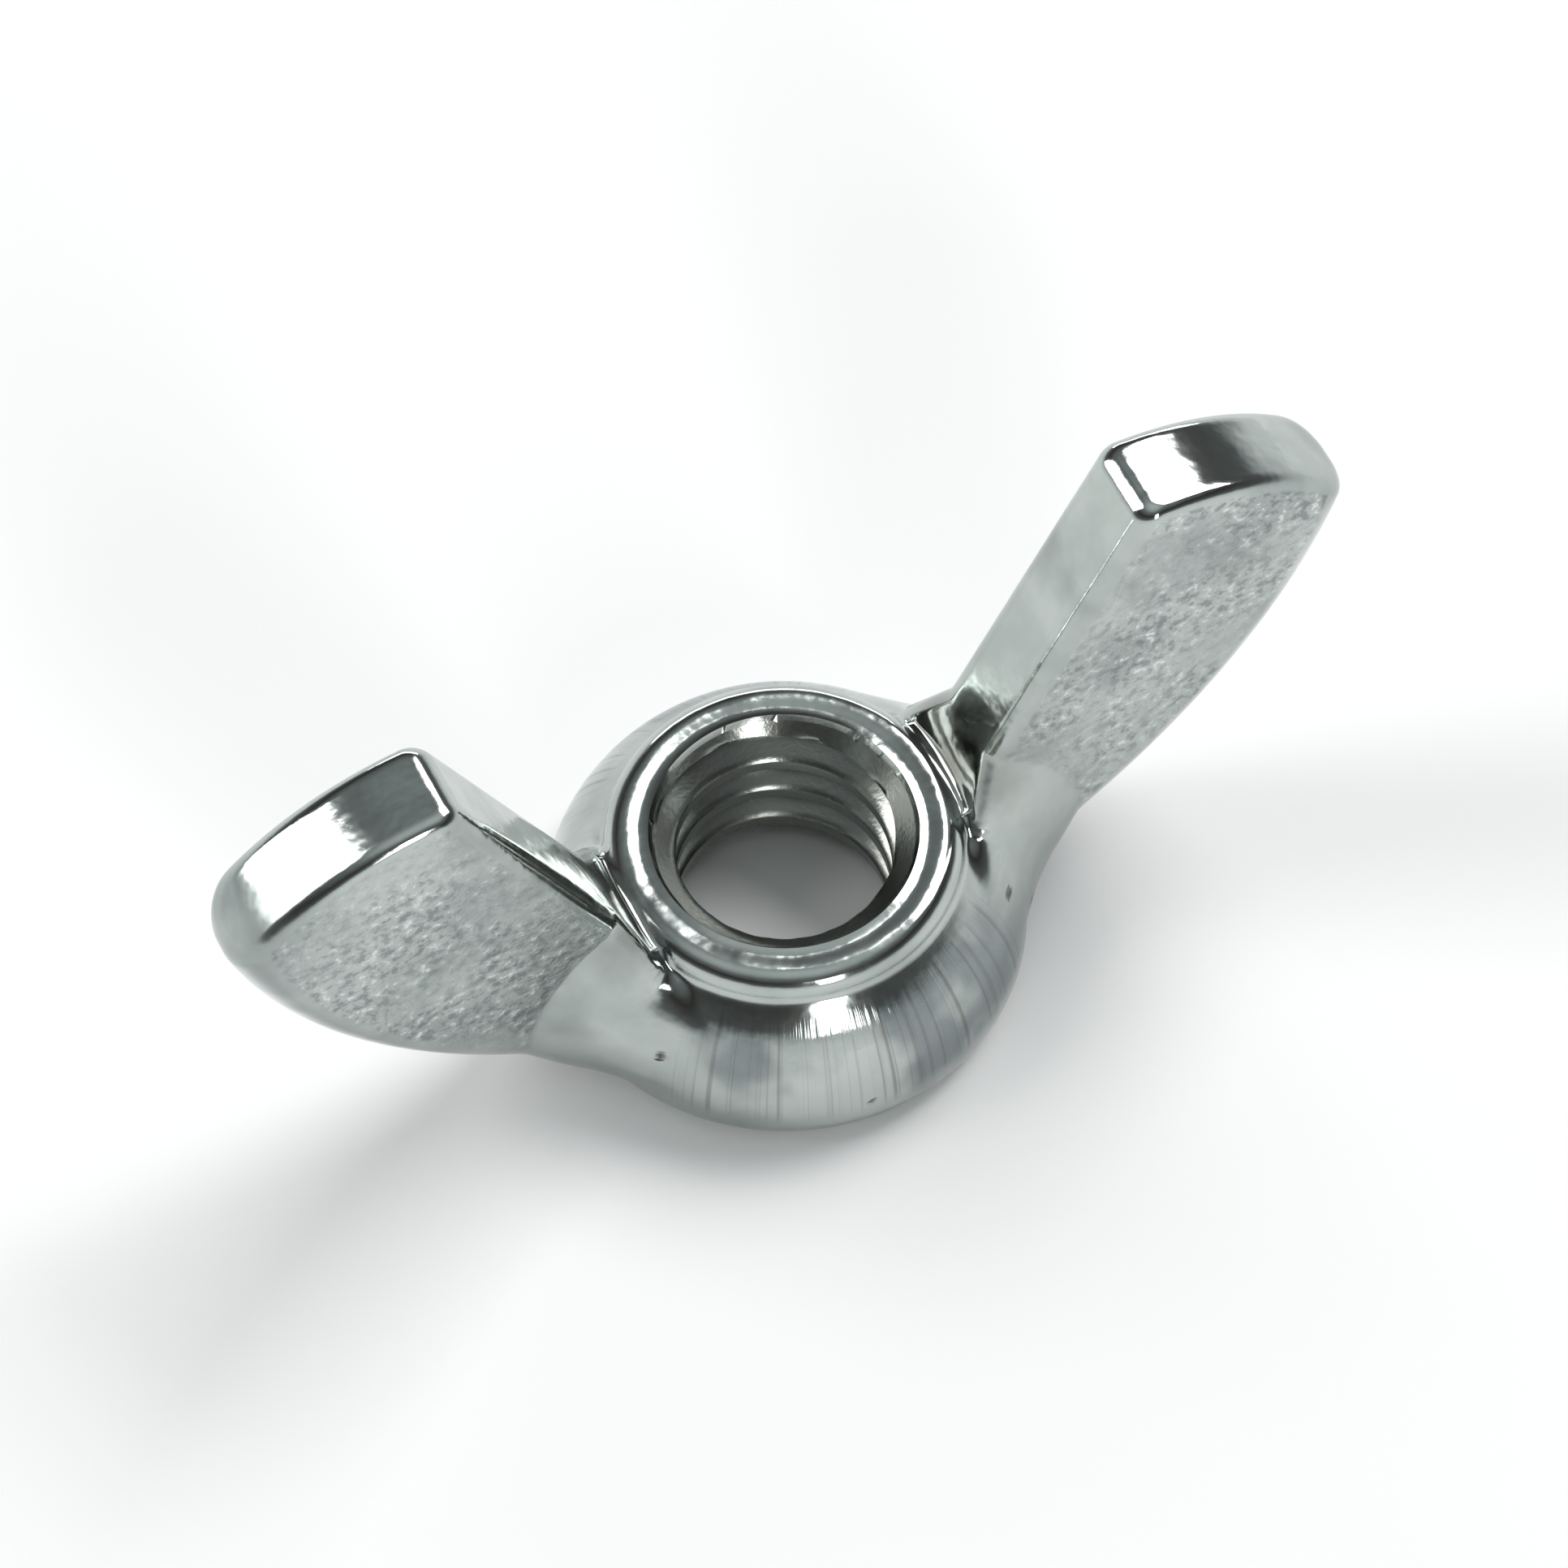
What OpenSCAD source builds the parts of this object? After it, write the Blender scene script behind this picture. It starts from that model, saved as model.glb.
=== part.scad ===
// Wing nut, cold forged in one piece with two raised wings and a tapped hole.
// Millimetres. The hole runs along Z, the bearing face lies on Z = 0 and the
// wings spread along X. The nut stands on its bearing face with its wings up.

/* [View] */
// Sub-part to draw

/* [Hub] */
// Widest diameter of the hub
hub_d = 11.6; // [11:0.1:12.4]
// Height of the hub from the bearing face to the top of its collar
hub_h = 4.7; // [4.4:0.1:5.2]
// Radius of the rounded edge round the bearing face
edge_r = 0.8; // [0.6:0.1:1]
// Diameter of the domed skirt where the collar stands on it
skirt_top_d = 8.9; // [8.8:0.1:9.2]
// Outside diameter of the collar round the mouth of the hole
collar_d = 8.5; // [8.2:0.1:8.7]
// Radius of the rounded outer edge of the collar
collar_round_r = 0.5; // [0.3:0.05:0.6]
// Height of the collar above the skirt
collar_h = 0.8; // [0.7:0.05:1.1]

/* [Thread] */
// Minor diameter of the tapped hole
minor_d = 5.12; // [4.98:0.02:5.26]
// Diameter of the countersink at each mouth of the hole
mouth_d = 6.2; // [6:0.1:6.6]

/* [Wings] */
// Thickness of a wing between its two flat faces
wing_t = 2.4; // [2.2:0.1:2.8]
// Radius of the rounded lower edge of a wing
lower_edge_r = 1.05; // [0.8:0.05:1.05]
// Radius of the small corners along the upper edge of a wing
upper_edge_r = 0.5; // [0.3:0.05:0.6]
// Radius of the small corners round the tip of a wing
tip_edge_r = 0.3; // [0.2:0.05:0.5]
// Distance from the axis to the upper edge of a wing at the height of the collar
root_x = 4.25; // [4.1:0.05:4.5]
// Angle of the upper edge of a wing above the bearing face
upper_edge_angle = 63.9; // [60:0.1:68]
// Radius of the curved lower edge of a wing, seen from the front
lower_arc_r = 17.25; // [17:0.05:17.8]
// Height of that curve's centre above the tip's outer corner
lower_arc_rise = 4.5; // [4.3:0.1:4.8]
// Half of the wing spread, measured at the height of the tip's outer corner
half_spread = 14.35; // [14:0.05:15]
// Height of the tip's outer corner above the bearing face
outer_corner_z = 10.8; // [10:0.1:11.6]
// Radius of the curved tip of a wing, seen from the front
tip_arc_r = 7.1; // [6.8:0.1:7.6]
// Overall height of the nut
nut_h = 13.65; // [13.2:0.05:14.2]

/* [Hidden] */
$fn = 96;
hub_r = hub_d / 2;
skirt_top_z = hub_h - collar_h;
skirt_rise = skirt_top_z - edge_r;
skirt_step = hub_r - skirt_top_d / 2;
skirt_arc_r = (skirt_rise * skirt_rise + skirt_step * skirt_step) / (2 * skirt_step);
collar_round_x = collar_d / 2 - collar_round_r;
collar_round_z = hub_h - collar_round_r;
sink_depth = (mouth_d - minor_d) / 2;
half_t = wing_t / 2;
lower_arc_x = half_spread - sqrt(pow(lower_arc_r, 2) - pow(lower_arc_rise, 2));
lower_arc_z = outer_corner_z + lower_arc_rise;
tip_arc_z = nut_h - tip_arc_r;
tip_arc_x = half_spread - sqrt(pow(tip_arc_r, 2) - pow(outer_corner_z - tip_arc_z, 2));
foot_clear = 0.3;
wing_reach = 40;
overcut = 1;
corner_proud = 0.06;

zinc = [0.72, 0.74, 0.76];

// Half section of the hub: bearing face, rounded edge, domed skirt and collar.
module hub_section() {
    square([hub_r - edge_r, edge_r]);
    intersection() {
        translate([hub_r - edge_r, edge_r])
            circle(r = edge_r);
        translate([hub_r - 2 * edge_r, 0])
            square([2 * edge_r, edge_r]);
    }
    intersection() {
        translate([hub_r - skirt_arc_r, edge_r])
            circle(r = skirt_arc_r);
        translate([0, edge_r])
            square([hub_r, skirt_top_z + collar_h / 4 - edge_r]);
    }
    square([collar_d / 2, collar_round_z]);
    translate([collar_round_x, collar_round_z])
        circle(r = collar_round_r);
    square([collar_round_x, hub_h]);
}

// Hub as one turned body about the axis of the hole.
module hub() {
    rotate_extrude()
        hub_section();
}

// Tapped hole at its minor diameter with a countersink at each mouth.
module hole() {
    translate([0, 0, -overcut])
        cylinder(d = minor_d, h = hub_h + 2 * overcut);
    translate([0, 0, -overcut])
        cylinder(d1 = mouth_d + 2 * overcut, d2 = minor_d - 2 * overcut, h = sink_depth + 2 * overcut);
    translate([0, 0, hub_h - sink_depth - overcut])
        cylinder(d1 = minor_d - 2 * overcut, d2 = mouth_d + 2 * overcut, h = sink_depth + 2 * overcut);
}

// Disc lying in the plane of the wings, with a rounded rim of radius edge.
module rounded_disc(r, half, edge) {
    rotate([90, 0, 0])
        rotate_extrude() {
            translate([0, -half])
                square([r - edge, 2 * half]);
            translate([0, edge - half])
                square([r, 2 * (half - edge)]);
            translate([r - edge, half - edge])
                circle(r = edge);
            translate([r - edge, edge - half])
                circle(r = edge);
        }
}

// Bar along the upper edge of a wing, with two small rounded corners.
module upper_bar() {
    half = half_t + corner_proud;
    rotate([0, -upper_edge_angle, 0])
        rotate([90, 0, 90])
            translate([0, 0, -wing_reach / 4])
                linear_extrude(height = wing_reach)
                    upper_bar_section(half);
}

// Section of the bar: across the wing in X, away from the upper edge in -Y.
module upper_bar_section(half) {
    translate([-half, -wing_reach / 2])
        square([2 * half, wing_reach / 2 - upper_edge_r]);
    translate([upper_edge_r - half, -wing_reach / 2])
        square([2 * (half - upper_edge_r), wing_reach / 2]);
    translate([half - upper_edge_r, -upper_edge_r])
        circle(r = upper_edge_r);
    translate([upper_edge_r - half, -upper_edge_r])
        circle(r = upper_edge_r);
}

// One wing: curved lower edge, straight upper edge and curved tip.
module wing() {
    intersection() {
        translate([lower_arc_x, 0, lower_arc_z])
            rounded_disc(lower_arc_r, half_t, lower_edge_r);
        translate([tip_arc_x, 0, tip_arc_z])
            rounded_disc(tip_arc_r, half_t + corner_proud, tip_edge_r);
        translate([root_x, 0, hub_h])
            upper_bar();
        translate([minor_d / 2 + sink_depth, -wing_t, foot_clear])
            cube([wing_reach, 2 * wing_t, wing_reach]);
    }
}

// The whole nut, forged as one solid and then tapped.
module wing_nut() {
    color(zinc)
        difference() {
            union() {
                hub();
                wing();
                mirror([1, 0, 0])
                    wing();
            }
            hole();
        }
}

wing_nut();
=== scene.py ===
"""Zinc plated wing nut: the forged body, its finish, the floor, the lights and the camera."""

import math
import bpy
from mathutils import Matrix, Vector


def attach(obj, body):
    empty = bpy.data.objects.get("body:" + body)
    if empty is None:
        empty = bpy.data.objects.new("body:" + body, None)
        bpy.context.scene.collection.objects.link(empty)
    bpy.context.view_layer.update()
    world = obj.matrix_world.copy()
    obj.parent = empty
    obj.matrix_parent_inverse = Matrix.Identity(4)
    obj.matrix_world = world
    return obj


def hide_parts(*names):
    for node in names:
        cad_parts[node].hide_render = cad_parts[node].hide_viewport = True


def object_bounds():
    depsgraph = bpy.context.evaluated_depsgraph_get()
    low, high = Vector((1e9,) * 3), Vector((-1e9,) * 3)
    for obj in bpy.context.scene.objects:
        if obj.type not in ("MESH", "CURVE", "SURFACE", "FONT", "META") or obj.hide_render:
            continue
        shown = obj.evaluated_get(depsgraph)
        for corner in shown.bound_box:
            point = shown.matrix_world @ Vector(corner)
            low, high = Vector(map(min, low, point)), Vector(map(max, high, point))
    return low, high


bl_info = {
    "name": "Zinc Wing Nut",
    "version": (1, 0, 0),
    "blender": (4, 5, 0),
    "location": "View3D > Sidebar > Wing Nut",
    "description": "Builds a forged wing nut with a cut thread and a zinc finish",
    "category": "Object",
}

import bmesh
import bpy
import numpy as np
from bpy.props import FloatProperty, FloatVectorProperty, PointerProperty
from mathutils import Matrix, Vector

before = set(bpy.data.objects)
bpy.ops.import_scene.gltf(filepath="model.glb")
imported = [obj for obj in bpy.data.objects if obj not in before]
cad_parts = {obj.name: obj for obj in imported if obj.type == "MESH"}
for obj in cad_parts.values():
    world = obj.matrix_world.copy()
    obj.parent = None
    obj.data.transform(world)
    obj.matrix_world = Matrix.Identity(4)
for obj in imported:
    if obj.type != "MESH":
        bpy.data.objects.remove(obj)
CAD_LOW, CAD_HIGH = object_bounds()
CAD_NODE = "wing_nut"
MM = 0.001

# rows, columns and stations of the grids that the nut is made of
HUB_COLUMNS = 240
WING_COLUMNS = 32
FACE_ROWS = 10
EDGE_ROWS = 14
SKIRT_ROWS = 44
SIDE_ROWS = 3
RING_ROWS = 16
TOP_ROWS = 8
WINDOW_FIRST_EDGE_ROW = 6
WINDOW_LAST_RING_ROW = 8
ROOT_STATIONS = 44
FLAT_STATIONS = 60
BORDER_WIDTH = 0.006
ROWS_PER_TURN = 22

# steps and tolerances for placing the points, and the angle from which an edge stays crisp
SNAP_STEPS = 14
SNAP_SHARE = 0.9
LEAST_SLOPE = 0.2
BORDER_STEPS = 30
BORDER_LIMITS = (0.05, 0.9)
SLOPE_STEP = 1e-6
TINY = 1e-9
WELD_DISTANCE = 2e-7
SHARP_ANGLE = math.radians(38)

# crowding of a wing's grid lines at its lower edge, upper edge and tip, and towards the flats
CROWD_LOWER = 0.45
CROWD_UPPER = 0.7
CROWD_TIP = 0.75
CROWD_SIDE = 0.8

# bulge of a wing's inner grid lines, its share along X and along Z, and their clearance in Y
GRID_BOW = 0.6 * MM
GRID_BOW_X = 0.43
GRID_BOW_Z = 0.9
GRID_CLEARANCE = 0.02 * MM

# heights between which the fillet at a wing's root widens, and then narrows to the collar's
FILLET_WIDENS = (0.1 * MM, 1.6 * MM)
FILLET_NARROWS = (3.0 * MM, 4.3 * MM)
LEAST_FILLET = 0.02 * MM

# flat bottom of the thread's groove as a share of the pitch, rounding of its corners, and the
# steepness of its sides
GROOVE_FLAT = 1 / 16
GROOVE_BLUNT = 0.03 * MM
GROOVE_SIDE = math.sqrt(3)

# where the finish changes: distances from the flats' border and below a flat, heights on the
# skirt, distances from a wing, and the reach of the test for hollows
FLAT_BORDER = 0.12 * MM
FLAT_LEVEL = (0.004 * MM, 0.02 * MM)
SKIRT_FOOT = 1.4 * MM
SKIRT_TOP = (3.4 * MM, 3.9 * MM)
WING_MARGIN = (0.3 * MM, 1.5 * MM)
HOLLOW_REACH = 0.5 * MM

# residue beside the collar: offset along X and Z, stretch across the wing, and reach
RESIDUE_X = 0.4 * MM
RESIDUE_Z = 0.2 * MM
RESIDUE_STRETCH = 1.4
RESIDUE_REACH = (0.2 * MM, 1.7 * MM)

# share of a pit's radius that is its floor
PIT_FLOOR = 0.35

# angle round the axis in degrees, height and radius of each pit in the forged skin
PITS = (
    (-34, 2.9 * MM, 0.16 * MM),
    (-27, 1.5 * MM, 0.13 * MM),
    (-148, 2.4 * MM, 0.14 * MM),
    (31, 2.2 * MM, 0.15 * MM),
    (152, 3.1 * MM, 0.12 * MM),
    (-96, 1.3 * MM, 0.10 * MM),
)

# noise in the zinc: scale per metre, detail and roughness
GRAINS = {
    "fleck": (3300.0, 3.0, 0.6),
    "cluster": (420.0, 4.0, 0.62),
    "grain": (7000.0, 3.0, 0.6),
    "cloud": (330.0, 4.0, 0.6),
    "ripple": (620.0, 3.0, 0.5),
    "patch": (240.0, 3.0, 0.6),
}
RIB_GRAIN = {"Scale": 24.0, "Detail": 4.0, "Roughness": 0.65}

# levels between which each mark fades in, or out where the first level is the higher one
LEVELS = {
    "film": (0.40, 0.66),
    "cluster": (0.38, 0.60),
    "dark": (0.52, 0.38),
    "bright": (0.56, 0.68),
    "patch": (0.48, 0.62),
    "spot": (0.28, 0.52),
    # patchiness of the painted shade in the creases
    "painted_crease_shade": (0.34, 0.66),
    "crease": (0.40, 0.92),
    "rib": (0.50, 0.70),
}

# least share of flecks left between their clusters
SPARSE = 0.25

# how far each mark covers the colour under it
COVER = {
    "film": 0.6,
    "patch": 0.24,
    # extra darkening of the patches on the skirt, a painted dark reflection
    "skirt": 0.36,
    "bright": 0.7,
    # painted shade in the creases, in the grime colour
    "painted_crease_shade": 0.6,
    "pit": 0.9,
    "spot": 0.75,
    "rib": 0.45,
}

# how much roughness each mark adds; the crease mark is the painted shade in the creases
ROUGHEN = {"film": 0.08, "grain": 0.3, "painted_crease_shade": 0.2, "pit": 0.4, "bore": 0.1, "rib": 0.12}

# height of each mark in millimetres
RELIEF = {
    "fleck": 0.050,
    "flat": 0.006,
    "ripple": 0.034,
    "grain": 0.0010,
    "rib": 0.018,
    "bore": 0.006,
    "pit": 0.060,
}

# floor: half its width, grid steps, gap under the nut, roughness, mottle and its darker tint
FLOOR_HALF = 1.5
FLOOR_STEPS = 24
FLOOR_GAP = 0.01 * MM
FLOOR_ROUGHNESS = 0.7
FLOOR_MOTTLE = (60.0, 3.0)
FLOOR_TINT = 0.985

CLIP_START = 1 * MM

# colour of the room by the height of a direction, 0 at the horizon and 1 straight up
ROOM_LIGHT = (
    (0.0, (0.95, 0.96, 0.96, 1)),
    (0.16, (0.80, 0.83, 0.83, 1)),
    (0.34, (0.13, 0.14, 0.14, 1)),
    (0.62, (0.045, 0.038, 0.036, 1)),
    (0.85, (0.20, 0.22, 0.225, 1)),
    (1.0, (0.62, 0.66, 0.66, 1)),
)

# name, place as right, away from the camera and up, width, depth and power
SOFT_LIGHTS = (
    ("key", (0.60, 0.75, 1.25), 0.95, 0.75, 15.5),
    ("window", (-1.20, 0.15, 0.95), 0.50, 1.05, 8.0),
    ("back", (-0.10, 1.60, 0.55), 1.40, 0.22, 5.0),
    ("fill", (0.55, -1.30, 0.75), 0.30, 0.70, 5.5),
)


def length(name, description, default, low=0.0, high=0.05):
    """A length in metres for the sidebar."""
    return FloatProperty(
        name=name,
        description=description,
        default=default,
        min=low,
        max=high,
        precision=5,
        unit="LENGTH",
    )


class NutSizes(bpy.types.PropertyGroup):
    """Sizes of the forging and of its thread."""

    hub_radius: length("Hub Radius", "Widest radius of the hub", (CAD_HIGH.y - CAD_LOW.y) / 2)
    edge_radius: length("Edge Radius", "Rounding round the bearing face", 0.8 * MM)
    skirt_arc: length("Skirt Arc", "Radius of the domed skirt's outline", 4.234 * MM)
    collar_radius: length("Collar Radius", "Outside radius of the collar", 4.25 * MM)
    ring_radius: length("Ring Radius", "Rounding of the collar's outer edge", 0.5 * MM)
    ring_crown: length("Ring Crown", "Fall of the collar's top towards the hole", 0.1 * MM)
    hub_height: length("Hub Height", "Height of the collar's top", 4.7 * MM)
    crease_radius: length("Crease Radius", "Fillet between skirt and collar", 0.1 * MM)
    minor_radius: length("Minor Radius", "Radius of the thread's crests", 2.56 * MM)
    major_radius: length("Major Radius", "Radius of the thread's groove", 3.175 * MM)
    mouth_radius: length("Mouth Radius", "Radius of the countersink's rim", 3.1 * MM)
    pitch: length("Pitch", "Rise of the thread in one turn", 1.27 * MM)
    half_thickness: length("Half Thickness", "Half of a wing's thickness", 1.2 * MM)
    half_spread: length("Half Spread", "Reach of a wing tip's outer corner", CAD_HIGH.x)
    corner_height: length("Corner Height", "Height of the tip's outer corner", 10.8 * MM)
    nut_height: length("Nut Height", "Height of the wing tips", CAD_HIGH.z)
    lower_arc: length("Lower Arc", "Radius of a wing's lower outline", 17.25 * MM)
    lower_drop: length("Lower Drop", "Height of that arc's centre over the corner", 4.5 * MM)
    tip_arc: length("Tip Arc", "Radius of a wing tip's outline", 7.1 * MM)
    lower_rim: length("Lower Rim", "Rounding of a wing's lower edge", 1.05 * MM)
    upper_rim: length("Upper Rim", "Rounding of a wing's upper edge", 0.5 * MM)
    tip_rim: length("Tip Rim", "Rounding of a wing's tip", 0.36 * MM)
    root_radius: length("Root Radius", "Where the upper edge meets the collar", 4.25 * MM)
    upper_angle: FloatProperty(
        name="Upper Angle",
        description="Angle of a wing's upper edge above the bearing face",
        default=math.radians(63.9),
        min=math.radians(45),
        max=math.radians(85),
        unit="ROTATION",
    )
    foot_gap: length("Foot Gap", "Clearance of a wing over the bearing face", 0.15 * MM)
    foot_radius: length("Foot Radius", "Rounding under a wing's root", 0.6 * MM)
    root_fillet: length("Root Fillet", "Fillet between a wing and the skirt", 1.0 * MM)
    collar_fillet: length("Collar Fillet", "Fillet between a wing and the collar", 0.3 * MM)
    gusset_reach: length("Gusset Reach", "Radius of the border where the flats begin", 5.05 * MM)
    gusset_x: length("Gusset X", "Centre of that border along the wings", 2.3 * MM)
    gusset_z: length("Gusset Z", "Centre of that border above the face", 1.5 * MM)
    gusset_slope: FloatProperty(
        name="Gusset Slope",
        description="Growth of the half thickness per length inside that border",
        default=0.5,
        min=0.0,
        max=1.0,
    )
    gusset_bend: length("Gusset Bend", "Rounding where the flats begin", 0.05 * MM)


class NutFinish(bpy.types.PropertyGroup):
    """Colours and gloss of the zinc."""

    zinc: FloatVectorProperty(
        name="Zinc",
        description="Colour of the polished coating",
        subtype="COLOR",
        default=(0.50, 0.54, 0.52),
        min=0.0,
        max=1.0,
    )
    cloud: FloatVectorProperty(
        name="Cloud",
        description="Colour of the duller patches of the coating",
        subtype="COLOR",
        default=(0.36, 0.40, 0.38),
        min=0.0,
        max=1.0,
    )
    bore: FloatVectorProperty(
        name="Thread",
        description="Colour of the cut thread",
        subtype="COLOR",
        default=(0.34, 0.355, 0.33),
        min=0.0,
        max=1.0,
    )
    # also the colour of the painted shade in the creases, which is darker where the surface closes
    # in
    grime_and_crease_shade: FloatVectorProperty(
        name="Grime",
        description="Colour of the residue in creases and pits",
        subtype="COLOR",
        default=(0.10, 0.085, 0.075),
        min=0.0,
        max=1.0,
    )
    # also the colour of the dark patches, which on the skirt are a painted dark reflection
    shade: FloatVectorProperty(
        name="Dark Fleck",
        description="Colour of the dark flecks on the flats",
        subtype="COLOR",
        default=(0.11, 0.135, 0.16),
        min=0.0,
        max=1.0,
    )
    spark: FloatVectorProperty(
        name="Bright Fleck",
        description="Colour of the bright flecks on the flats",
        subtype="COLOR",
        default=(0.86, 0.90, 0.90),
        min=0.0,
        max=1.0,
    )
    fleck: FloatProperty(
        name="Fleck Strength",
        description="How dark the flecks on the flats are",
        default=0.58,
        min=0.0,
        max=1.0,
    )
    gloss: FloatProperty(
        name="Polished Roughness",
        description="Roughness of the rounded, polished parts",
        default=0.10,
        min=0.0,
        max=1.0,
    )
    satin: FloatProperty(
        name="Flat Roughness",
        description="Roughness of the wings' flat faces",
        default=0.24,
        min=0.0,
        max=1.0,
    )


class StageLook(bpy.types.PropertyGroup):
    """Floor, light and camera."""

    floor: FloatVectorProperty(
        name="Floor",
        description="Colour of the floor",
        subtype="COLOR",
        default=(0.97, 0.97, 0.97),
        min=0.0,
        max=1.0,
    )
    elevation: FloatProperty(
        name="Elevation",
        description="Height of the camera above the horizon",
        default=math.radians(59),
        min=0.0,
        max=math.radians(90),
        unit="ROTATION",
    )
    azimuth: FloatProperty(
        name="Azimuth",
        description="Turn of the camera round the nut, 0 looking along Y",
        default=math.radians(-27),
        min=math.radians(-180),
        max=math.radians(180),
        unit="ROTATION",
    )
    light: FloatProperty(
        name="Light",
        description="Strength of the soft lights",
        default=1.0,
        min=0.0,
        max=5.0,
    )
    distance: length("Distance", "Camera distance from the nut", 0.196, 0.02, 2.0)
    view_width: length("View Width", "Width that the camera sees at the nut", 0.0365, 0.01, 1.0)


# ---------------------------------------------------------------- shape


def round_union(a, b, radius):
    """Two bodies joined with a hollow fillet: where both distances are under the radius, the
    distance is the radius less the diagonal of what each distance lacks of the radius."""
    diagonal = np.hypot(np.maximum(radius - a, 0), np.maximum(radius - b, 0))
    return np.maximum(radius, np.minimum(a, b)) - diagonal


def round_cut(a, b, radius):
    """The common part of two bodies with a rounded outer corner: where both distances are above
    minus the radius, the distance is the diagonal of their excess, less the radius."""
    diagonal = np.hypot(np.maximum(radius + a, 0), np.maximum(radius + b, 0))
    return np.minimum(-radius, np.maximum(a, b)) + diagonal


def soft_step(value, low, high):
    """0 below low, 1 above high, and 3t squared less 2t cubed between them."""
    t = np.clip((value - low) / (high - low), 0, 1)
    return t * t * (3 - 2 * t)


def ring_height(r, s):
    """Height of the collar's top at a radius: level outside, then falling towards the hole by
    the crown times the square of the share of the way to the mouth."""
    edge = s.collar_radius - s.ring_radius
    share = np.maximum(edge - r, 0) / (edge - s.mouth_radius)
    return s.hub_height - s.ring_crown * share**2


def hub_distance(p, s):
    """Distance from the turned hub: an edge arc below, the skirt's arc above it, and a collar
    with a rounded outer edge, joined by a small fillet."""
    r = np.hypot(p[..., 0], p[..., 1])
    z = p[..., 2]
    edge = np.hypot(np.maximum(r - s.hub_radius + s.edge_radius, 0), z - s.edge_radius)
    skirt = np.hypot(r - s.hub_radius + s.skirt_arc, z - s.edge_radius)
    dome = np.where(z > s.edge_radius, skirt - s.skirt_arc, edge - s.edge_radius)
    side = r - s.collar_radius + s.ring_radius
    top = z - ring_height(r, s) + s.ring_radius
    corner = np.hypot(np.maximum(side, 0), np.maximum(top, 0))
    collar = corner + np.minimum(np.maximum(side, top), 0) - s.ring_radius
    return round_union(dome, collar, s.crease_radius)


def wing_outline(s):
    """Centres of the lower arc and the tip arc, and the upper edge's outward normal."""
    drop = s.lower_drop
    lower = (s.half_spread - math.sqrt(s.lower_arc**2 - drop**2), s.corner_height + drop)
    tip_z = s.nut_height - s.tip_arc
    tip = (s.half_spread - math.sqrt(s.tip_arc**2 - (s.corner_height - tip_z) ** 2), tip_z)
    normal = (-math.sin(s.upper_angle), math.cos(s.upper_angle))
    return lower, tip, normal


def gusset_depth(p, s):
    """How far a point lies inside the round border where a wing's flats begin."""
    x = np.abs(p[..., 0]) - s.gusset_x
    return s.gusset_reach - np.hypot(x, p[..., 2] - s.gusset_z)


def wing_distance(p, s):
    """Distance from the pair of wings. A wing is the slab between its two flats, cut by the lower
    arc, the upper edge and the tip arc, each with its own rounding. Inside the gusset's border the
    slab thickens in proportion to the depth."""
    x, z = np.abs(p[..., 0]), p[..., 2]
    lower, tip, normal = wing_outline(s)
    depth = gusset_depth(p, s)
    grown = s.gusset_slope * (depth + np.hypot(depth, s.gusset_bend)) / 2
    slab = np.abs(p[..., 1]) - s.half_thickness - grown
    under = np.hypot(x - lower[0], z - lower[1]) - s.lower_arc
    over = (x - s.root_radius) * normal[0] + (z - s.hub_height) * normal[1]
    end = np.hypot(x - tip[0], z - tip[1]) - s.tip_arc
    body = np.maximum(round_cut(under, slab, s.lower_rim), round_cut(over, slab, s.upper_rim))
    body = round_cut(body, end, s.tip_rim)
    return round_cut(body, s.foot_gap - z, s.foot_radius)


def nut_distance(p, s):
    """Distance from the outside of the nut: hub and wings joined by a fillet that is widest on
    the skirt and narrow at the collar and at the bearing face, cut off flat at the face."""
    z = p[..., 2]
    wide = soft_step(z, *FILLET_WIDENS) * s.root_fillet
    shrink = soft_step(z, *FILLET_NARROWS)
    fillet = np.maximum(wide * (1 - shrink) + s.collar_fillet * shrink, LEAST_FILLET)
    body = round_union(hub_distance(p, s), wing_distance(p, s), fillet)
    return np.maximum(body, -z)


def slope(p, s):
    """Gradient of the distance by central differences."""
    steps = np.eye(3) * SLOPE_STEP
    parts = [nut_distance(p + d, s) - nut_distance(p - d, s) for d in steps]
    return np.stack(parts, axis=-1) / (2 * SLOPE_STEP)


def snap(p, s):
    """Points moved onto the nut's outside: each step follows the gradient by the distance."""
    for _ in range(SNAP_STEPS):
        g = slope(p, s)
        reach = nut_distance(p, s) / np.maximum((g * g).sum(-1), LEAST_SLOPE)
        p = p - SNAP_SHARE * reach[..., None] * g
    return p


def arc(cx, cz, radius, start, end, count):
    """Points on a circle's arc, count steps from the start angle to just before the end angle."""
    angle = np.radians(start + (end - start) * np.arange(count) / count)
    return np.stack([cx + radius * np.cos(angle), cz + radius * np.sin(angle)], axis=-1)


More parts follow.
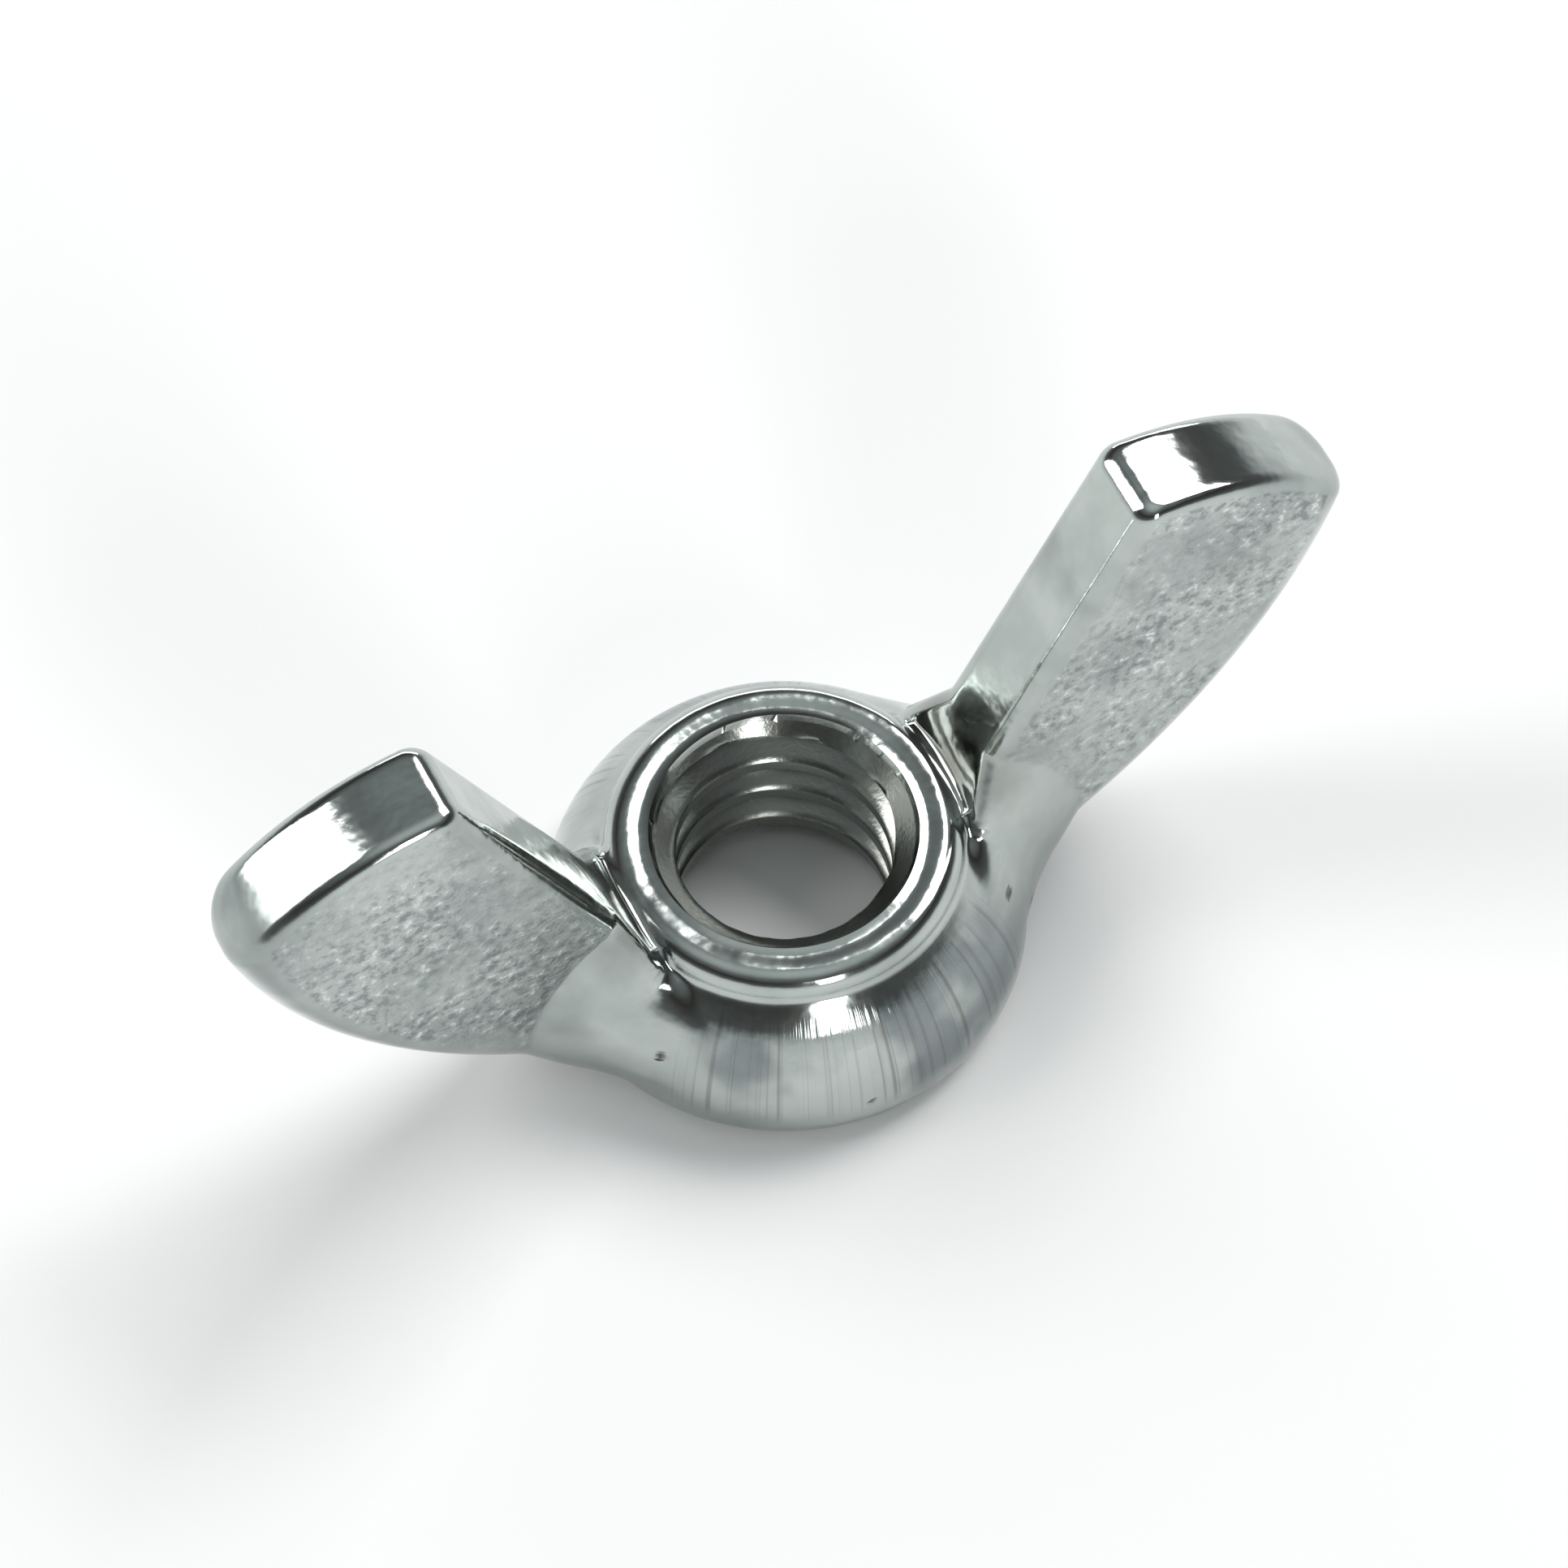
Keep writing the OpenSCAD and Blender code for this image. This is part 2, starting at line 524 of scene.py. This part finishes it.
def hub_profile(s):
    """Half section of the hub from the lower rim of the hole to the upper one: the face as a
    line, the edge, skirt and ring as arcs, the collar's side as a line and its crowned top."""
    edge_x = s.hub_radius - s.edge_radius
    share = np.arange(FACE_ROWS) / FACE_ROWS
    face = np.stack([s.mouth_radius + (edge_x - s.mouth_radius) * share, 0 * share], axis=-1)
    skirt_x = s.hub_radius - s.skirt_arc
    top = math.degrees(math.acos((s.collar_radius - skirt_x) / s.skirt_arc))
    side_z = s.edge_radius + s.skirt_arc * math.sin(math.radians(top))
    ring_z = s.hub_height - s.ring_radius
    ring_x = s.collar_radius - s.ring_radius
    share = np.arange(SIDE_ROWS) / SIDE_ROWS
    side = np.stack([s.collar_radius + 0 * share, side_z + (ring_z - side_z) * share], axis=-1)
    top_x = np.linspace(ring_x, s.mouth_radius, TOP_ROWS + 1)
    return np.concatenate(
        [
            face,
            arc(edge_x, s.edge_radius, s.edge_radius, -90, 0, EDGE_ROWS),
            arc(skirt_x, s.edge_radius, s.skirt_arc, 0, top, SKIRT_ROWS),
            side,
            arc(ring_x, ring_z, s.ring_radius, 0, 90, RING_ROWS),
            np.stack([top_x, ring_height(top_x, s)], axis=-1),
        ]
    )


def hub_grid(s):
    """The half section carried round the axis, as rows by columns of points."""
    profile = hub_profile(s)
    angle = 2 * np.pi * np.arange(HUB_COLUMNS) / HUB_COLUMNS
    r, z = profile[:, 0, None], profile[:, 1, None]
    return np.stack([r * np.cos(angle), r * np.sin(angle), z + 0 * angle], axis=-1)


def quads(index):
    """Corner numbers of the quads between neighbouring rows and columns of a grid of numbers."""
    a, b = index[:-1, :-1], index[:-1, 1:]
    c, d = index[1:, 1:], index[1:, :-1]
    return np.stack([a, b, c, d], axis=-1).reshape(-1, 4)


def ring_order(rows, columns):
    """Row and column of each border point of a grid, once round, starting at its first corner."""
    i, j = np.arange(columns), np.arange(rows)
    row = np.concatenate([0 * i, j, rows + 0 * i, rows - j])
    column = np.concatenate([i, columns + 0 * j, columns - i, 0 * j])
    return row, column


def wing_section(along, across, side, s):
    """A point on the wing: along runs from root to tip, across from lower to upper edge, and
    side from one flat to the other. The lower line follows the lower arc, the upper line is
    straight, and the lines between them bow outwards towards the tip."""
    lower, tip, normal = wing_outline(s)
    start = math.asin((s.hub_radius - lower[0]) / s.lower_arc)
    end = math.asin((s.half_spread - lower[0]) / s.lower_arc)
    angle = start + (end - start) * along
    low_x = lower[0] + s.lower_arc * np.sin(angle)
    low_z = lower[1] - s.lower_arc * np.cos(angle)
    rise = s.nut_height - s.hub_height
    run = rise / math.tan(s.upper_angle)
    up_x = s.root_radius + run * along
    up_z = s.hub_height + rise * along
    bow = GRID_BOW * along**2 * 4 * across * (1 - across)
    x = low_x + (up_x - low_x) * across + bow * GRID_BOW_X
    z = low_z + (up_z - low_z) * across + bow * GRID_BOW_Z
    y = side * (s.half_thickness + GRID_CLEARANCE)
    return np.stack(np.broadcast_arrays(x, y, z), axis=-1)


def spread_ends(t, first, last):
    """Shares from 0 to 1 crowded towards both ends: a straight share less a sine wave, whose
    size is the crowding at the near end and at the far end."""
    crowd = first * (1 - t) + last * t
    return t - crowd * np.sin(2 * np.pi * t) / (2 * np.pi)


def side_share(column, columns):
    """Place between the two flats from -1 to 1, crowded towards both: the sine of part of a
    quarter turn to each side, over the sine of the whole part."""
    side = 2 * column / columns - 1
    return np.sin(side * np.pi / 2 * CROWD_SIDE) / math.sin(np.pi / 2 * CROWD_SIDE)


def border_share(across, s):
    """How far along the wing each line meets the border where the flats begin, found by halving
    the interval in which the depth changes sign."""
    low, high = np.zeros_like(across), np.ones_like(across)
    for _ in range(BORDER_STEPS):
        middle = (low + high) / 2
        inside = gusset_depth(wing_section(middle, across, 0.0, s), s) > 0
        low = np.where(inside, middle, low)
        high = np.where(inside, high, middle)
    return np.clip((low + high) / 2, *BORDER_LIMITS)


def wing_stations(border):
    """Shares along the wing, one column to each border share: even steps up to the border, three
    close stations on it, then steps crowded towards the tip."""
    root = np.arange(ROOT_STATIONS)[:, None] / ROOT_STATIONS * (border - BORDER_WIDTH)
    bend = border + BORDER_WIDTH * np.array([-1, 0, 1])[:, None]
    even = np.arange(1, FLAT_STATIONS + 1)[:, None] / FLAT_STATIONS
    share = spread_ends(even, 0.0, CROWD_TIP)
    start = border + BORDER_WIDTH
    return np.concatenate([root, bend, start + (1 - start) * share])


def wing_grids(hub, s):
    """One wing as a tube and a cap. The tube's first ring is the border of a window in the hub,
    its last ring the border of the cap, and the rings between them pass from one to the other.
    Returns the window's rows and columns, the tube's rings and the cap."""
    low = FACE_ROWS + WINDOW_FIRST_EDGE_ROW
    high = FACE_ROWS + EDGE_ROWS + SKIRT_ROWS + SIDE_ROWS + WINDOW_LAST_RING_ROW
    rows, columns = high - low, WING_COLUMNS
    row, column = ring_order(rows, columns)
    window = hub[low + row, (column - columns // 2) % HUB_COLUMNS]
    across = spread_ends(row / rows, CROWD_LOWER, CROWD_UPPER)
    border = border_share(across, s)
    along = wing_stations(border)
    tube = wing_section(along, across, side_share(column, columns), s)
    leave = soft_step(along, 0.0, border)[..., None]
    tube = window * (1 - leave) + tube * leave
    cap_across = spread_ends(np.arange(rows + 1) / rows, CROWD_LOWER, CROWD_UPPER)[:, None]
    cap = wing_section(1.0, cap_across, side_share(np.arange(columns + 1), columns), s)
    return (low, high, columns), tube, cap


def thread_radius(angle, z, s):
    """Radius of the hole's wall, and the height of its upper rim. The groove is a right-hand
    helix with sides 30 degrees off square and a narrow flat bottom, cut no shallower than the
    minor radius. A 45 degree countersink opens each mouth."""
    turns = z / s.pitch - angle / (2 * np.pi)
    off = np.abs(turns - np.round(turns)) * s.pitch
    away = off - s.pitch * GROOVE_FLAT
    away = (away + np.sqrt(away**2 + GROOVE_BLUNT**2)) / 2
    depth = s.major_radius - away * GROOVE_SIDE - s.minor_radius
    wall = s.minor_radius + (depth + np.hypot(depth, GROOVE_BLUNT)) / 2
    lip_z = s.hub_height - s.ring_crown
    lower = s.mouth_radius - z
    upper = s.mouth_radius - (lip_z - z)
    return np.maximum(np.maximum(wall, lower), upper), lip_z


def bore_grid(s):
    """The hole's wall. Rows follow the helix, a fixed number to a turn, and are held at the two
    rims once they reach them, so that a row that climbs one pitch in a turn meets the row that
    is one turn above it."""
    lip_z = thread_radius(0.0, 0.0, s)[1]
    turns = int(math.ceil(lip_z / s.pitch)) + 1
    phase = np.arange(ROWS_PER_TURN * (turns + 1) + 1) / ROWS_PER_TURN - 1
    angle = 2 * np.pi * np.arange(HUB_COLUMNS + 1) / HUB_COLUMNS
    height = (phase[:, None] + angle / (2 * np.pi)) * s.pitch
    height = np.clip(height, 0, lip_z)
    radius = thread_radius(angle, height, s)[0]
    return np.stack([radius * np.cos(angle), radius * np.sin(angle), height], axis=-1)


def add_mesh(name, points, faces, attributes):
    """A mesh object from whole arrays. Points that meet are welded, faces that shrink to a line
    and points without a face are dropped, and edges sharper than the limit stay crisp."""
    mesh = bpy.data.meshes.new(name)
    mesh.from_pydata(points.tolist(), [], faces.tolist())
    for key, values in attributes.items():
        layer = mesh.attributes.new(key, "FLOAT", "POINT")
        layer.data.foreach_set("value", values.astype(np.float32))
    work = bmesh.new()
    work.from_mesh(mesh)
    bmesh.ops.remove_doubles(work, verts=work.verts, dist=WELD_DISTANCE)
    bmesh.ops.dissolve_degenerate(work, edges=work.edges, dist=WELD_DISTANCE)
    loose = [point for point in work.verts if not point.link_faces]
    bmesh.ops.delete(work, geom=loose, context="VERTS")
    bmesh.ops.recalc_face_normals(work, faces=work.faces)
    work.to_mesh(mesh)
    work.free()
    mesh.shade_smooth()
    mesh.set_sharp_from_angle(angle=SHARP_ANGLE)
    made = bpy.data.objects.new(name, mesh)
    bpy.context.scene.collection.objects.link(made)
    return made


def nut_mesh(s):
    """Points and faces of the whole nut: the hub's outside with two windows, two wings that
    grow out of them, and the hole's wall. The second wing is the first turned half round."""
    hub = hub_grid(s)
    (low, high, columns), tube, cap = wing_grids(hub, s)
    rows = hub.shape[0]
    number = np.arange(rows * HUB_COLUMNS).reshape(rows, HUB_COLUMNS)
    wrapped = np.concatenate([number, number[:, :1]], axis=1)
    cells = quads(wrapped).reshape(rows - 1, HUB_COLUMNS, 4)
    keep = np.ones((rows - 1, HUB_COLUMNS), bool)
    window = (np.arange(columns) - columns // 2) % HUB_COLUMNS
    keep[low:high, window] = False
    keep[low:high, (window + HUB_COLUMNS // 2) % HUB_COLUMNS] = False
    outside = [hub.reshape(-1, 3)]
    faces = [cells[keep]]
    total = hub.size // 3
    for turn in (1, -1):
        facing = np.array([turn, turn, 1])
        for grid in (np.concatenate([tube, tube[:, :1]], axis=1), cap):
            size = grid.shape[0] * grid.shape[1]
            number = total + np.arange(size).reshape(grid.shape[:2])
            faces.append(quads(number))
            outside.append((grid * facing).reshape(-1, 3))
            total += size
    outside = snap(np.concatenate(outside), s)
    bore = bore_grid(s)
    ends = np.array([0, (rows - 1) * HUB_COLUMNS])[:, None] + np.arange(HUB_COLUMNS)
    outside[ends] = bore[[0, -1], :-1]
    number = total + np.arange(bore.shape[0] * bore.shape[1]).reshape(bore.shape[:2])
    faces.append(quads(number))
    points = np.concatenate([outside, bore.reshape(-1, 3)])
    return points, np.concatenate(faces), len(outside)


def hollow(p, s):
    """How hollow the outside is at each point, 0 on flat and bulging parts: a short step out
    along the normal gains less distance than its own length where the surface closes in."""
    g = slope(p, s)
    g = g / np.maximum(np.linalg.norm(g, axis=-1, keepdims=True), TINY)
    gained = nut_distance(p + g * HOLLOW_REACH, s) - nut_distance(p, s)
    return np.clip(1 - gained / HOLLOW_REACH, 0, 1)


def pitted(p, s):
    """1 in the middle of a pit and 0 from its rim: the distance to a pit's middle is taken along
    the skirt, as the turn times the hub's radius and the difference in height."""
    angle = np.arctan2(p[:, 1], p[:, 0])
    depth = np.zeros(len(p))
    for turn, height, radius in PITS:
        away = np.hypot((angle - math.radians(turn)) * s.hub_radius, p[:, 2] - height)
        depth = np.maximum(depth, 1 - soft_step(away, PIT_FLOOR * radius, radius))
    return depth


def residue(p, s):
    """How near a point is to the spot where a wing's upper edge springs from the collar: 1 less
    a soft step of the distance, which counts for less across the wing."""
    x = np.abs(p[:, 0]) - s.root_radius - RESIDUE_X
    y = p[:, 1] / RESIDUE_STRETCH
    z = p[:, 2] - s.hub_height - RESIDUE_Z
    return 1 - soft_step(np.sqrt(x**2 + y**2 + z**2), *RESIDUE_REACH)


def wing_near(p, s):
    """1 on a wing and close beside it, falling to 0 across the margin next to it."""
    return 1 - soft_step(wing_distance(p, s), *WING_MARGIN)


class WINGNUT_OT_body(bpy.types.Operator):
    """Build the forged body with its wings, collar, bearing face and cut thread"""

    bl_idname = "wingnut.body"
    bl_label = "Forged Body"

    def execute(self, context):
        """Makes the mesh, its surface attributes and its finish, and puts it on the frame."""
        sizes = context.scene.wingnut_sizes
        points, faces, outer = nut_mesh(sizes)
        skin = points[:outer]
        flat = soft_step(-gusset_depth(skin, sizes), 0.0, FLAT_BORDER)
        level = sizes.half_thickness - np.abs(skin[:, 1])
        flat = flat * (1 - soft_step(level, *FLAT_LEVEL))
        inner = np.zeros(len(points) - outer)
        around = np.arctan2(skin[:, 1], skin[:, 0])
        skirt = soft_step(skin[:, 2], sizes.edge_radius, SKIRT_FOOT)
        skirt = skirt * (1 - soft_step(skin[:, 2], *SKIRT_TOP))
        skirt = skirt * (1 - soft_step(wing_near(skin, sizes), 0.0, 1.0))
        attributes = {
            "around": np.concatenate([around, inner]),
            "pitted": np.concatenate([pitted(skin, sizes), inner]),
            "residue": np.concatenate([residue(skin, sizes), inner]),
            "skirt": np.concatenate([skirt, inner]),
            "flat": np.concatenate([flat, inner]),
            "hollow": np.concatenate([hollow(skin, sizes), inner]),
            "bore": np.concatenate([np.zeros(outer), inner + 1]),
        }
        body = add_mesh("forged_nut", points, faces, attributes)
        body.data.materials.append(zinc_material(context.scene.wingnut_finish))
        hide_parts(CAD_NODE)
        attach(body, "root")
        return {"FINISHED"}


# ---------------------------------------------------------------- finish


class Signal:
    """A number that varies over a surface, carried by one shader socket."""

    def __init__(self, board, socket):
        self.board = board
        self.socket = socket

    def __add__(self, other):
        return self.board.sum("ADD", self, other)

    __radd__ = __add__

    def __sub__(self, other):
        return self.board.sum("SUBTRACT", self, other)

    def __rsub__(self, other):
        return self.board.sum("SUBTRACT", other, self)

    def __mul__(self, other):
        return self.board.sum("MULTIPLY", self, other)

    __rmul__ = __mul__


class Board:
    """The node tree of one material or world, written as expressions."""

    def __init__(self, tree):
        self.tree = tree
        tree.nodes.clear()

    def node(self, kind, settings=None, inputs=None, output=0):
        """A node with its settings set first and then its sockets fed. Returns one output."""
        made = self.tree.nodes.new(kind)
        for name, value in (settings or {}).items():
            if name == "stops":
                ramp = made.color_ramp
                while len(ramp.elements) < len(value):
                    ramp.elements.new(0.5)
                for element, (place, colour) in zip(ramp.elements, value):
                    element.position = place
                    element.color = colour
            else:
                setattr(made, name, value)
        for name, value in (inputs or {}).items():
            if isinstance(value, Signal):
                self.tree.links.new(value.socket, made.inputs[name])
            else:
                made.inputs[name].default_value = value
        return Signal(self, made.outputs[output]) if made.outputs else None

    def sum(self, operation, a, b):
        """One Math node on two numbers or signals."""
        return self.node("ShaderNodeMath", {"operation": operation}, {0: a, 1: b})

    def step(self, value, low, high):
        """0 below low, 1 above high and smooth between them."""
        settings = {"interpolation_type": "SMOOTHSTEP"}
        inputs = {"Value": value, "From Min": low, "From Max": high}
        return self.node("ShaderNodeMapRange", settings, inputs)

    def blend(self, factor, a, b):
        """One colour passing into another."""
        settings = {"data_type": "RGBA"}
        return self.node("ShaderNodeMix", settings, {0: factor, 6: a, 7: b}, 2)

    def noise(self, place, scale, detail=2.0, roughness=0.5):
        """Cloudy noise, about 0.5 on average."""
        inputs = {"Vector": place, "Scale": scale, "Detail": detail, "Roughness": roughness}
        return self.node("ShaderNodeTexNoise", None, inputs)

    def attribute(self, name):
        """A number stored on the mesh's points."""
        settings = {"attribute_type": "GEOMETRY", "attribute_name": name}
        return self.node("ShaderNodeAttribute", settings, None, 2)


def zinc_material(finish):
    """Bright zinc on a forging: polished where it is round, satin on the flats with coarse
    sparkling flecks, faint die lines up the skirt, dark tarnish patches that deepen on the skirt
    as painted dark reflection, painted shade in the creases, residue beside the collar, a few pits
    and a darker thread."""
    material = bpy.data.materials.new("zinc_plate")
    material.use_nodes = True
    board = Board(material.node_tree)
    place = board.node("ShaderNodeTexCoord", None, None, 3)
    flat = board.attribute("flat")
    hollowed = board.attribute("hollow")
    bore = board.attribute("bore")
    skirt = board.attribute("skirt")
    around = board.attribute("around")
    smooth = (1 - flat) * (1 - bore)

    fleck, cluster, grain, cloud, ripple, patch = (
        board.noise(place, *values) for values in GRAINS.values()
    )
    ribs = board.node(
        "ShaderNodeTexNoise", {"noise_dimensions": "1D"}, {"W": around, **RIB_GRAIN}
    )

    film = board.step(cloud, *LEVELS["film"])
    strewn = flat * (SPARSE + (1 - SPARSE) * board.step(cluster, *LEVELS["cluster"]))
    dark_fleck = board.step(fleck, *LEVELS["dark"]) * strewn
    bright_fleck = board.step(fleck, *LEVELS["bright"]) * strewn
    patch = board.step(patch, *LEVELS["patch"]) * (1 - bore)
    pit = board.attribute("pitted")
    spot = board.attribute("residue") * board.step(ripple, *LEVELS["spot"]) * (1 - bore)
    # painted shade in the creases: darker where the surface closes in, broken up by noise
    painted_crease_shade = board.step(hollowed, *LEVELS["crease"]) * board.step(ripple, *LEVELS["painted_crease_shade"])
    lines = skirt * board.step(ribs, *LEVELS["rib"])

    colour = board.blend(film * COVER["film"], (*finish.zinc, 1), (*finish.cloud, 1))
    # dark patches: random tarnish everywhere, and deeper on the skirt as a painted dark reflection
    tarnish_and_painted_reflection = patch * (COVER["patch"] + COVER["skirt"] * skirt)
    colour = board.blend(tarnish_and_painted_reflection, colour, (*finish.shade, 1))
    colour = board.blend(dark_fleck * finish.fleck, colour, (*finish.shade, 1))
    colour = board.blend(bright_fleck * COVER["bright"], colour, (*finish.spark, 1))
    colour = board.blend(bore, colour, (*finish.bore, 1))
    # grime colour over the pits, the residue spot, the die lines and the painted shade in the
    # creases
    stain_and_crease_shade = painted_crease_shade * COVER["painted_crease_shade"] + pit * COVER["pit"]
    stain_and_crease_shade = stain_and_crease_shade + spot * COVER["spot"] + lines * COVER["rib"]
    colour = board.blend(stain_and_crease_shade, colour, (*finish.grime_and_crease_shade, 1))

    rough = finish.gloss + film * ROUGHEN["film"] + flat * (finish.satin - finish.gloss)
    rough = rough + flat * (grain - 0.5) * ROUGHEN["grain"] + painted_crease_shade * ROUGHEN["painted_crease_shade"]
    rough = rough + pit * ROUGHEN["pit"] + bore * ROUGHEN["bore"]
    rough = rough + skirt * (ribs - 0.5) * ROUGHEN["rib"]

    height = strewn * fleck * RELIEF["fleck"] + flat * grain * RELIEF["flat"]
    height = height + smooth * ripple * RELIEF["ripple"] + smooth * grain * RELIEF["grain"]
    height = height + skirt * ribs * RELIEF["rib"]
    height = height + bore * grain * RELIEF["bore"] - pit * RELIEF["pit"]
    bump = board.node(
        "ShaderNodeBump", None, {"Strength": 1.0, "Distance": MM, "Height": height}
    )
    shader = board.node(
        "ShaderNodeBsdfPrincipled",
        None,
        {"Metallic": 1.0, "Base Color": colour, "Roughness": rough, "Normal": bump},
    )
    board.node("ShaderNodeOutputMaterial", None, {"Surface": shader})
    return material


# ---------------------------------------------------------------- stage


def plain_material(name, colour, roughness):
    """A matt paper finish for the floor with a faint mottle."""
    material = bpy.data.materials.new(name)
    material.use_nodes = True
    board = Board(material.node_tree)
    place = board.node("ShaderNodeTexCoord", None, None, 3)
    mottle = board.noise(place, *FLOOR_MOTTLE)
    darker = tuple(c * FLOOR_TINT for c in colour)
    tint = board.blend(mottle, (*colour, 1), (*darker, 1))
    shader = board.node(
        "ShaderNodeBsdfPrincipled", None, {"Base Color": tint, "Roughness": roughness}
    )
    board.node("ShaderNodeOutputMaterial", None, {"Surface": shader})
    return material


def floor_mesh(half, steps):
    """A level square just under the bearing face, as an even grid of points."""
    line = np.linspace(-half, half, steps + 1)
    x, y = np.meshgrid(line, line)
    points = np.stack([x, y, 0 * x - FLOOR_GAP], axis=-1).reshape(-1, 3)
    faces = quads(np.arange(points.shape[0]).reshape(steps + 1, steps + 1))
    return points, faces


def add_light(name, place, aim, width, depth, power):
    """A rectangular soft light at a place, turned to a point."""
    data = bpy.data.lights.new(name, "AREA")
    data.shape = "RECTANGLE"
    data.size, data.size_y = width, depth
    data.energy = power
    made = bpy.data.objects.new(name, data)
    made.location = place
    made.rotation_euler = (Vector(aim) - Vector(place)).to_track_quat("-Z", "Y").to_euler()
    bpy.context.scene.collection.objects.link(made)


def room_light(scene):
    """A pale room: bright at the horizon, dark halfway up and light again straight up."""
    world = bpy.data.worlds.new("room")
    world.use_nodes = True
    scene.world = world
    board = Board(world.node_tree)
    place = board.node("ShaderNodeTexCoord", None, None, 0)
    up = board.node("ShaderNodeSeparateXYZ", None, {0: place}, 2)
    tint = board.node("ShaderNodeValToRGB", {"stops": ROOM_LIGHT}, {0: up})
    sky = board.node("ShaderNodeBackground", None, {"Color": tint, "Strength": 1.0})
    board.node("ShaderNodeOutputWorld", None, {"Surface": sky})


class WINGNUT_OT_stage(bpy.types.Operator):
    """Lay the pale floor and set the soft lights and the camera"""

    bl_idname = "wingnut.stage"
    bl_label = "Floor, Light and Camera"

    def execute(self, context):
        """Makes the floor, the room, the soft lights and the camera."""
        scene = context.scene
        look = scene.wingnut_stage
        points, faces = floor_mesh(FLOOR_HALF, FLOOR_STEPS)
        floor = add_mesh("floor", points, faces, {})
        floor.data.materials.append(plain_material("paper", look.floor, FLOOR_ROUGHNESS))
        room_light(scene)
        middle = (CAD_LOW + CAD_HIGH) / 2
        turn = Matrix.Rotation(look.azimuth, 3, "Z")
        for name, place, wide, deep, power in SOFT_LIGHTS:
            add_light(name, turn @ Vector(place), middle, wide, deep, power * look.light)
        data = bpy.data.cameras.new("camera")
        data.lens = data.sensor_width * look.distance / look.view_width
        data.clip_start = CLIP_START
        camera = bpy.data.objects.new("camera", data)
        flat = math.cos(look.elevation)
        back = Vector(
            (
                math.sin(look.azimuth) * flat,
                -math.cos(look.azimuth) * flat,
                math.sin(look.elevation),
            )
        )
        camera.location = middle + back * look.distance
        camera.rotation_euler = (-back).to_track_quat("-Z", "Y").to_euler()
        scene.collection.objects.link(camera)
        scene.camera = camera
        scene.view_settings.view_transform = "Standard"
        return {"FINISHED"}


class WINGNUT_PT_panel(bpy.types.Panel):
    """Sidebar panel with the nut's sizes, finish and stage"""

    bl_label = "Wing Nut"
    bl_idname = "WINGNUT_PT_panel"
    bl_space_type = "VIEW_3D"
    bl_region_type = "UI"
    bl_category = "Wing Nut"

    def draw(self, context):
        """Lists each group of settings above the button that uses it."""
        scene = context.scene
        for settings, operators in (
            (scene.wingnut_sizes, ()),
            (scene.wingnut_finish, (WINGNUT_OT_body,)),
            (scene.wingnut_stage, (WINGNUT_OT_stage,)),
        ):
            box = self.layout.box()
            for key in type(settings).__annotations__:
                box.prop(settings, key)
            for operator in operators:
                box.operator(operator.bl_idname)


CLASSES = (
    NutSizes,
    NutFinish,
    StageLook,
    WINGNUT_OT_body,
    WINGNUT_OT_stage,
    WINGNUT_PT_panel,
)
SETTINGS = {
    "wingnut_sizes": NutSizes,
    "wingnut_finish": NutFinish,
    "wingnut_stage": StageLook,
}


def register():
    """Adds the classes and the scene's settings."""
    for item in CLASSES:
        bpy.utils.register_class(item)
    for name, group in SETTINGS.items():
        setattr(bpy.types.Scene, name, PointerProperty(type=group))


def unregister():
    """Takes them away again."""
    for name in SETTINGS:
        delattr(bpy.types.Scene, name)
    for item in reversed(CLASSES):
        bpy.utils.unregister_class(item)


def main():
    """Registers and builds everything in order."""
    register()
    bpy.ops.wingnut.body()
    bpy.ops.wingnut.stage()


if __name__ == "__main__":
    main()
